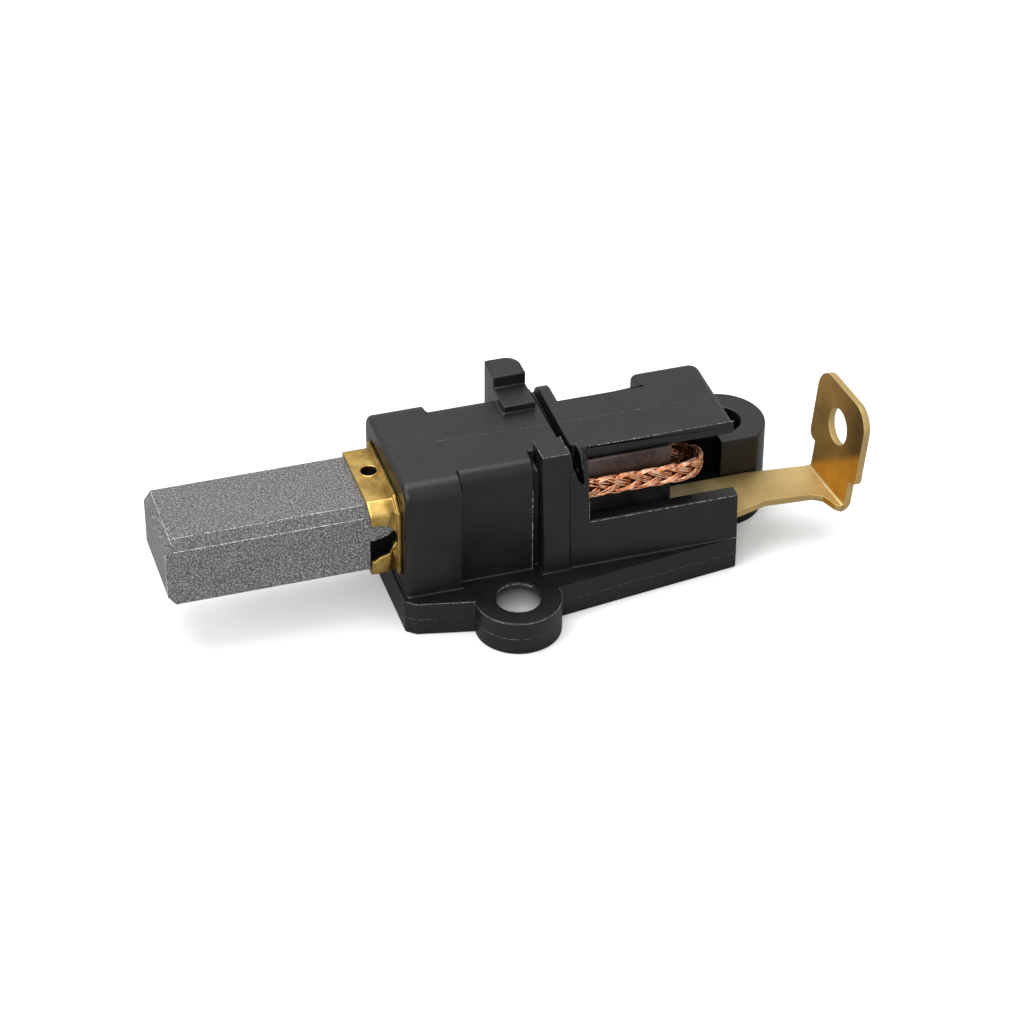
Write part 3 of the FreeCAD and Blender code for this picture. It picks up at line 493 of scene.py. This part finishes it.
def cross_directions(points, i):
    """Two directions square to a path of points, at one of them."""
    ahead = (points[min(i + 1, len(points) - 1)] - points[max(i - 1, 0)]).normalized()
    ref = Z_AXIS if abs(ahead.z) < 0.9 else Y_AXIS
    first = ahead.cross(ref).normalized()
    return first, ahead.cross(first)


def add_ring(verts, centre, first, second, radius, sides):
    for k in range(sides):
        t = 2 * math.pi * k / sides
        verts.append((centre + first * (radius * math.cos(t)) + second * (radius * math.sin(t))) * MM)


def add_skin(faces, start, last, sides):
    """Faces between rings of points from a first to a last one, and the two ends."""
    for i in range(last):
        for k in range(sides):
            a, b = start + i * sides + k, start + i * sides + (k + 1) % sides
            faces.append((a, b, b + sides, a + sides))
    faces.append(tuple(start + k for k in reversed(range(sides))))
    faces.append(tuple(start + last * sides + k for k in range(sides)))


BEAD_SIDES = 5


def bead(name, paths, radius, slot, material, body="holder", step=0.22, breaks=0.3):
    """Thin uneven ridges along paths in mm, for flash lines and for painted highlights on edges."""
    verts, faces = [], []
    for path in paths:
        points = []
        for a, b in zip(path, path[1:]):
            a, b = Vector(a), Vector(b)
            n = max(1, int((b - a).length / step))
            points += [a.lerp(b, i / n) for i in range(n)]
        points.append(Vector(path[-1]))
        start = len(verts)
        for i, point in enumerate(points):
            size = radius * rng.uniform(0.7, 1.15)
            if rng.random() < breaks:
                size = radius * rng.uniform(0.15, 0.4)
            add_ring(verts, point, *cross_directions(points, i), size, BEAD_SIDES)
        add_skin(faces, start, len(points) - 1, BEAD_SIDES)
    put(name, mesh_from(name, verts, faces, False), body, slot, material)


# Heights in mm: roof plate, flange's top, flange's parting line, post's top and the near wall's ledge
ROOF, SEAT, RIM, POST, LEDGE = 18.46, 4.2, 2.1, 19.35, 9.9


def ear_arc(rad, start, stop, z, n=40):
    """Points on an arc round the screw ear, between two angles in degrees."""
    turns = [math.radians(start + (stop - start) * i / n) for i in range(n + 1)]
    return [(EAR_X + rad * math.cos(turn), EAR_Y + rad * math.sin(turn), z) for turn in turns]


flash = [[(-15.6, 0.6, ROOF), (2.42, 0.0, ROOF)], [(3.4, -0.05, ROOF), (21.6, -0.28, ROOF)]]
bead("parting_flash", flash, 0.04, "housing", FLASH)
rim = [[(-16.85, -8.5, RIM), (-15.8, -9.4, RIM), (-9.45, -10.75, RIM)] + ear_arc(4.87, 173, 364, RIM)
       + [(0.4, -11.0, RIM), (22.3, -8.0, RIM)]]
bead("flange_flash", rim, 0.035, "housing", FLASH, breaks=0.45)
# Paler beads at the walls' feet and along the flange's edge: painted highlights
feet = [[(-9.9, -6.86, SEAT), (-1.6, -6.86, SEAT)],
        [(-0.7, -8.27, SEAT), (2.45, -8.27, SEAT), (2.45, -8.02, SEAT)],
        [(2.45, -8.01, SEAT), (22.2, -8.01, SEAT)], [(-16.2, -8.02, SEAT), (-10.0, -8.02, SEAT)],
        [(-1.62, -6.9, SEAT), (-1.62, -6.9, 15.0)], ear_arc(2.5, 35, 150, SEAT - 0.05, 24)]
bead("foot_glint", feet, 0.045, "housing", GLINT)
low_seat = SEAT - 0.02
edges = [[(-16.5, -8.55, low_seat), (-15.7, -9.4, low_seat), (-9.45, -10.78, low_seat)],
         ear_arc(4.83, 176, 364, SEAT - 0.06)]
bead("flange_edge_glint", edges, 0.025, "housing", GLINT, breaks=0.5)
# Paler beads along the roof's near edge, the window's rim, the ledge and the post's top: painted highlights
glint_paths = [[(4.45, -5.38, ROOF - 0.04), (22.2, -5.38, ROOF - 0.04)],
          [(4.62, -6.42, 16.9), (4.68, -6.98, 15.6), (4.74, -7.42, 13.4), (4.76, -7.6, 10.2)],
          [(4.8, -7.76, LEDGE), (22.2, -7.76, LEDGE)],
          [(-0.64, -7.33, POST), (2.38, -7.33, POST), (2.4, -3.9, POST)],
          [(-0.64, -7.33, POST), (-0.64, -3.9, POST)]]
bead("edge_glints", glint_paths, 0.045, "housing", GLINT, breaks=0.5)


# Copper braid: ribbons of wires laid over and under each other round a flattened near-black core, painted
# shade seen through the gaps
def stadium(angle, wide, thick):
    """A point of the braid's flattened section, and its outward normal, for an angle round it."""
    x, y = thick * math.cos(angle), wide * math.sin(angle)
    nx, ny = math.cos(angle) / thick, math.sin(angle) / wide
    size = math.hypot(nx, ny)
    return x, y, nx / size, ny / size


# Braid's route in mm: turn, end and tail on X, the turn's rise and reach, and the lower run's height
TURN_X, END_X, TAIL_X = 15.5, 4.47, -8.8
LIFT, SIDE, LOW_Z = 1.95, 6.45, 11.6
TURN_RAD = math.hypot(LIFT, SIDE) / 2
TILT = math.atan2(LIFT, SIDE)
STRAIGHT = TURN_X - TAIL_X
ARC = math.pi * TURN_RAD
TOTAL = STRAIGHT + ARC + TURN_X - END_X
# Braid's section in mm: half width and half thickness of ribbons and core, wire radius, a ribbon's lift
WIDE, THICK, CORE_WIDE, CORE_THICK = 1.06, 0.30, 0.96, 0.19
WIRE, RIBBON_LIFT = 0.09, 0.12
CARRIERS, WIRES, PITCH = 6, 4, 14.4
CORE_SIDES, CORE_STEP = 14, 0.4
# Share of a ribbon's room that its wires fill, and the end run in mm where they open, by this angle
FILL, OPEN_RUN, OPEN_TURN = 0.8, 4.5, 0.16
# A wire lies on top, between or under, by its lift from 1 to -1; between and under it takes painted shade
TOP_LIFT, UNDER_LIFT = 0.45, -0.35


def route_point(s):
    """Place, sideways and upward direction on the braid's route, s in mm from its tail."""
    if s < STRAIGHT:
        p, f = Vector((TAIL_X + s, 0, 0)), Vector((1, 0, 0))
    elif s < STRAIGHT + ARC:
        a = (s - STRAIGHT) / TURN_RAD
        p = Vector((TURN_X + TURN_RAD * math.sin(a), -TURN_RAD * (1 - math.cos(a)), 0))
        f = Vector((math.cos(a), -math.sin(a), 0))
    else:
        p, f = Vector((TURN_X - (s - STRAIGHT - ARC), -2 * TURN_RAD, 0)), Vector((-1, 0, 0))
    side = Vector((-f.y, f.x, 0))
    twist = Matrix.Rotation(-TILT, 3, f)
    turn = Matrix.Rotation(-TILT, 3, "X")
    return turn @ p + Vector((0, 0, LOW_Z)), turn @ (twist @ side), turn @ (twist @ Z_AXIS)


def weave(t):
    """Over two, under two."""
    return max(-1.0, min(1.0, 1.25 * math.sin(math.pi / 2 * (t + 0.5))))


def wire_path(s0, s1, count, lay, carrier, spread, loose):
    """Points of one wire's middle, and how high it lies at each."""
    drift, beat = rng.uniform(0.02, 0.05), rng.uniform(0, 6.28)
    cross = PITCH / (2 * CARRIERS)
    phase = 2 * math.pi * carrier / CARRIERS + (0.0 if lay > 0 else math.pi / CARRIERS)
    centres, lifts = [], []
    for i in range(count + 1):
        s = s0 + (s1 - s0) * i / count
        open_up = loose * smooth_step(s, s1 - OPEN_RUN, s1)
        turn = (lay * 2 * math.pi * s / PITCH + phase + spread
                + (drift + OPEN_TURN * open_up) * math.sin(s * 1.6 + beat))
        u = s / cross - 0.5
        lift = weave(u + 2 * carrier) if lay > 0 else -weave(2 * carrier - u)
        out = RIBBON_LIFT * lift + 0.015 * math.sin(s * 2.3 + beat)
        x, y, nx, ny = stadium(turn, WIDE, THICK)
        p, side, up = route_point(s)
        centres.append(p + side * (x + nx * out) + up * (y + ny * out))
        lifts.append(lift)
    return centres, lifts


def braid(name, s0, s1, body, step=0.14, sides=5, loose=0.0):
    """Ribbons of wires on the route from s0 to s1, opening toward the end where loose."""
    verts, faces, lifts = [], [], []
    count = max(8, int((s1 - s0) / step))
    for lay in (1, -1):
        for carrier in range(CARRIERS):
            for wire in range(WIRES):
                spread = (wire - (WIRES - 1) / 2) * 2 * math.pi / CARRIERS / WIRES * FILL
                start = len(verts)
                centres, heights = wire_path(s0, s1, count, lay, carrier, spread, loose)
                for i, centre in enumerate(centres):
                    add_ring(verts, centre, *cross_directions(centres, i), WIRE, sides)
                add_skin(faces, start, count, sides)
                lifts += [height for height in heights[:count] for _ in range(sides)] + [0.0, 0.0]
    mesh = mesh_from(name, verts, faces)
    obj = put(name, mesh, body, "copper")
    mesh.materials.append(COPPER_HALF_SHADE)
    mesh.materials.append(COPPER_IN_SHADE)
    # Wires that dip between or under other ribbons get painted shade, darker the lower they lie
    for poly, lift in zip(mesh.polygons, lifts):
        poly.material_index = 0 if lift > TOP_LIFT else 1 if lift > UNDER_LIFT else 2
    return obj


def braid_shade_core(name, s0, s1):
    """A near-black core that shows between the outer ribbons: painted shade in the braid's gaps."""
    verts, faces = [], []
    count = int((s1 - s0) / CORE_STEP)
    for i in range(count + 1):
        p, side, up = route_point(s0 + (s1 - s0) * i / count)
        for k in range(CORE_SIDES):
            x, y, _, _ = stadium(2 * math.pi * k / CORE_SIDES, CORE_WIDE, CORE_THICK)
            verts.append((p + side * x + up * y) * MM)
    add_skin(faces, 0, count, CORE_SIDES)
    dark = copper("copper_shade", (0.03, 0.008, 0.004), (0.09, 0.028, 0.014), 0.6)
    put(name, mesh_from(name, verts, faces), "holder", "copper", dark)


hidden = braid("braid_in_tube", 0.0, STRAIGHT - 1.2, "holder", step=0.5, sides=4)
shown = braid("braid_loop", STRAIGHT - 1.4, TOTAL, "holder", loose=1.0)
braid_shade_core("braid_shade_core", STRAIGHT - 1.3, TOTAL - 0.1)
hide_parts("shunt_braid")
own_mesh(hidden)


# Spring with its end turns closed; radii, ends on X and height in mm
COIL_RAD, COIL_WIRE, COIL_START, COIL_END, COIL_Z = 3.15, 0.3, -8.38, 14.33, 11.05
COIL_TURNS, COIL_STEPS, COIL_SIDES = 13.0, 26, 8


def helix():
    verts, faces, points = [], [], []
    count = int(COIL_TURNS * COIL_STEPS)
    length = COIL_END - COIL_START - 2 * COIL_WIRE
    low, high = 2 * COIL_WIRE / length, 1 - 2 * COIL_WIRE / length
    for i in range(count + 1):
        turn = i / count * COIL_TURNS
        if turn < 1:
            at = low * turn
        elif turn > COIL_TURNS - 1:
            at = 1 - low * (COIL_TURNS - turn)
        else:
            at = low + (high - low) * (turn - 1) / (COIL_TURNS - 2)
        a = 2 * math.pi * turn
        points.append(Vector((COIL_START + COIL_WIRE + length * at, COIL_RAD * math.cos(a),
                              COIL_Z + COIL_RAD * math.sin(a))))
    for i, p in enumerate(points):
        ahead = (points[min(i + 1, count)] - points[max(i - 1, 0)]).normalized()
        out = Vector((0, p.y, p.z - COIL_Z)).normalized()
        add_ring(verts, p, out, ahead.cross(out).normalized(), COIL_WIRE, COIL_SIDES)
    add_skin(faces, 0, count, COIL_SIDES)
    return mesh_from("coil_spring", verts, faces)


spring = put("coil_spring", helix(), "holder", "spring_steel")
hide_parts("brush_spring")
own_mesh(spring)


# Carbon: cut fine along its sawn corner, which is rough and chipped
CORNER_LOW, CORNER_HIGH = Vector((0, -5.42, 14.13)), Vector((0, -4.03, 14.98))
CORNER_WIDTH = (CORNER_HIGH - CORNER_LOW).length
ACROSS = (CORNER_HIGH - CORNER_LOW).normalized()
OUTWARD = Vector((0, -ACROSS.z, ACROSS.y))
SLACK, EDGE_WIDTH = 0.02, 0.05
# Where the mesh is cut: along X in mm, across the corner by share of its width, up the near side in mm
RUN_CUTS = [-42.4 + 0.2 * i for i in range(136)]
CORNER_SHARES = (0.12, 0.3, 0.48, 0.66, 0.84)
SIDE_CUTS = [8.9 + 0.12 * i for i in range(42)]
# The front end's edge, in metres, stays as it is
FRONT_END = -0.0424
# Painted shade on the carbon: on the top under the tube's eye, in Y; on the side by the notch, all but the
# lit part, in X and Z
EYE_SHADE = (-0.2, 3.4)
LIT_CENTRE, LIT_SIZE = (-20, 12.9), (3.3, 2.0)


def on_corner(spot):
    spot = spot / MM - CORNER_LOW
    return abs(spot.dot(OUTWARD)) < SLACK and -SLACK < spot.dot(ACROSS) < CORNER_WIDTH + SLACK


def is_rough(face):
    return on_corner(face.calc_center_median()) and abs(face.normal.x) < SQUARE


# Faces painted black as shade: under the tube's eye and beside the thumb notch
def is_shaded(face):
    x, y, z = centre_of(face)
    if face.normal.z > SQUARE:
        return -19.5 < x < -16.5 and EYE_SHADE[0] < y < EYE_SHADE[1]
    lit = math.hypot((x - LIT_CENTRE[0]) / LIT_SIZE[0], (z - LIT_CENTRE[1]) / LIT_SIZE[1]) < 1
    return face.normal.y < -SQUARE and -19.8 < x < -16.5 and not lit


def carbon_block():
    bm = clean_copy("carbon_brush")
    for place in RUN_CUTS:
        cut(bm, Vector((place, 0, 0)) * MM, X_AXIS, lambda f: abs(f.normal.x) < SQUARE)
    for share in CORNER_SHARES:
        cut(bm, (CORNER_LOW + ACROSS * (share * CORNER_WIDTH)) * MM, ACROSS, is_rough)
    # Cuts that give the painted shade under the eye and beside the notch faces of its own
    cut_planes(bm, Y_AXIS, EYE_SHADE,
               lambda f: f.normal.z > SQUARE and -19.4 < f.calc_center_median().x / MM < -16.6)
    cut_planes(bm, Z_AXIS, SIDE_CUTS,
               lambda f: f.normal.y < -SQUARE and -19.9 < f.calc_center_median().x / MM < -16.5)
    rough = {f for f in bm.faces if is_rough(f)}
    for vert in bm.verts:
        if on_corner(vert.co) and vert.co.x > FRONT_END:
            place = (vert.co / MM - CORNER_LOW).dot(ACROSS)
            at_edge = place < EDGE_WIDTH or place > CORNER_WIDTH - EDGE_WIDTH
            vert.co += OUTWARD * (rng.uniform(-0.05, 0.02) if at_edge else rng.uniform(-0.07, 0.05)) * MM
            vert.co.x += rng.uniform(-0.05, 0.05) * MM
    mesh = bpy.data.meshes.new("carbon_block")
    # Rough faces take the broken carbon, faces in shade the painted shade
    flags = [1 if f in rough else 2 if is_shaded(f) else 0 for f in bm.faces]
    bm.to_mesh(mesh)
    bm.free()
    obj = put("carbon_block", mesh, "brush", "carbon")
    mesh.materials.append(rough_carbon())
    mesh.materials.append(SHADE)
    for poly, flag in zip(mesh.polygons, flags):
        poly.use_smooth = False
        poly.material_index = flag
    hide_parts("carbon_brush")


carbon_block()
# Pale beads along the chipped corner's edges and the front end's edges: painted highlights
carbon_glint_paths = [[(-41.6, -5.41, 14.14), (-20.2, -5.41, 14.14)], [(-41.6, -4.04, 14.96), (-20.2, -4.04, 14.96)],
          [(-42.5, -5.3, 8.4), (-42.5, -5.3, 13.8)], [(-41.7, -5.2, 14.95), (-41.7, 5.3, 14.95)],
          [(-42.45, -5.0, 13.8), (-42.45, 5.3, 13.8)]]
CARBON_GLINT = new_material("carbon_glint", grey(0.5), 0.5)
bead("carbon_edge_glints", carbon_glint_paths, 0.05, "carbon", CARBON_GLINT, body="brush", step=0.16, breaks=0.6)


# Raised burr round the tube's eye; centre, radius and steps round it, in mm
EYE, EYE_RAD = Vector((-18.0, 1.2, 15.5)), 1.03
BURR_STEPS, BURR_SIDES = 40, 7


def burr():
    verts, faces = [], []
    for i in range(BURR_STEPS):
        a = 2 * math.pi * i / BURR_STEPS
        thick = 0.09 + 0.09 * max(0.0, math.cos(a + 0.6)) + rng.uniform(-0.012, 0.012)
        for k in range(BURR_SIDES):
            t = 2 * math.pi * k / BURR_SIDES
            r = EYE_RAD + thick * math.cos(t)
            verts.append((EYE + Vector((r * math.cos(a), r * math.sin(a), thick * 0.9 * math.sin(t)))) * MM)
    for i in range(BURR_STEPS):
        here, after = i * BURR_SIDES, (i + 1) % BURR_STEPS * BURR_SIDES
        for k in range(BURR_SIDES):
            side = (k + 1) % BURR_SIDES
            faces.append((here + k, after + k, after + side, here + side))
    put("eye_burr", mesh_from("eye_burr", verts, faces), "holder", "brass")


burr()


# Floor and light: size in metres, tones as lit, bounced and mirrored, the floor's lift, the sky's strengths
FLOOR_SIZE, FLOOR_LIT, FLOOR_BOUNCE, FLOOR_MIRRORED, FLOOR_LIFT = 6.0, 0.8, 0.86, 0.34, 0.17
SKY_SOFT, SKY_WHITE = 0.85, 1.0


def plain_shader(tree, kind, tone, strength=None):
    """A shader of one grey."""
    node = tree.nodes.new(kind)
    node.inputs["Color"].default_value = (*grey(tone), 1.0)
    if strength is not None:
        node.inputs["Strength"].default_value = strength
    return node.outputs[0]


def pick(tree, factor, first, second):
    """The first shader at factor 0, the second at 1."""
    node = tree.nodes.new("ShaderNodeMixShader")
    for out, into in ((factor, "Fac"), (first, 1), (second, 2)):
        tree.links.new(out, node.inputs[into])
    return node.outputs[0]


def floor_material():
    """Pale to the light, darker in reflections, and lifted a little where the camera sees it."""
    mat = bpy.data.materials.new("pale_floor")
    mat.use_nodes = True
    tree = mat.node_tree
    tree.nodes.clear()
    path = tree.nodes.new("ShaderNodeLightPath").outputs
    seen = tree.nodes.new("ShaderNodeAddShader")
    tree.links.new(plain_shader(tree, "ShaderNodeBsdfDiffuse", FLOOR_LIT), seen.inputs[0])
    tree.links.new(plain_shader(tree, "ShaderNodeEmission", 1, FLOOR_LIFT), seen.inputs[1])
    pale = plain_shader(tree, "ShaderNodeBsdfDiffuse", FLOOR_BOUNCE)
    mirrored = plain_shader(tree, "ShaderNodeBsdfDiffuse", FLOOR_MIRRORED)
    unseen = pick(tree, path["Is Glossy Ray"], pale, mirrored)
    surface = pick(tree, path["Is Camera Ray"], unseen, seen.outputs[0])
    out = tree.nodes.new("ShaderNodeOutputMaterial")
    tree.links.new(surface, out.inputs["Surface"])
    return mat


def make_floor():
    bpy.ops.mesh.primitive_plane_add(size=FLOOR_SIZE, location=(0, 0, 0))
    floor = bpy.context.object
    floor.name = "floor"
    floor.data.materials.append(floor_material())


def make_world():
    """Soft light from all sides, white where it is seen directly."""
    world = bpy.data.worlds.new("studio")
    bpy.context.scene.world = world
    world.use_nodes = True
    tree = world.node_tree
    tree.nodes.clear()
    path = tree.nodes.new("ShaderNodeLightPath").outputs
    most = tree.nodes.new("ShaderNodeMath")
    most.operation = "MAXIMUM"
    tree.links.new(path["Is Camera Ray"], most.inputs[0])
    tree.links.new(path["Is Transmission Ray"], most.inputs[1])
    soft = plain_shader(tree, "ShaderNodeBackground", 1, SKY_SOFT)
    white = plain_shader(tree, "ShaderNodeBackground", 1, SKY_WHITE)
    out = tree.nodes.new("ShaderNodeOutputWorld")
    tree.links.new(pick(tree, most.outputs[0], soft, white), out.inputs["Surface"])


def area_light(name, spot, aim, size, power):
    data = bpy.data.lights.new(name, "AREA")
    data.shape = "RECTANGLE"
    data.size, data.size_y = size
    data.energy = power
    lamp = bpy.data.objects.new(name, data)
    bpy.context.scene.collection.objects.link(lamp)
    lamp.location = spot
    lamp.rotation_euler = (Vector(aim) - Vector(spot)).to_track_quat("-Z", "Y").to_euler()


make_floor()
make_world()
area_light("key_top", (-0.08, 0.10, 0.55), (0, 0, 0), (0.5, 0.35), 2.45)
area_light("fill_left", (-0.55, -0.25, 0.3), (0, 0, 0.01), (0.4, 0.4), 1.7)
area_light("front_left", (-0.22, -0.5, 0.42), (0.01, 0, 0.01), (0.16, 0.16), 0.95)
bpy.context.scene.view_settings.view_transform = "Standard"
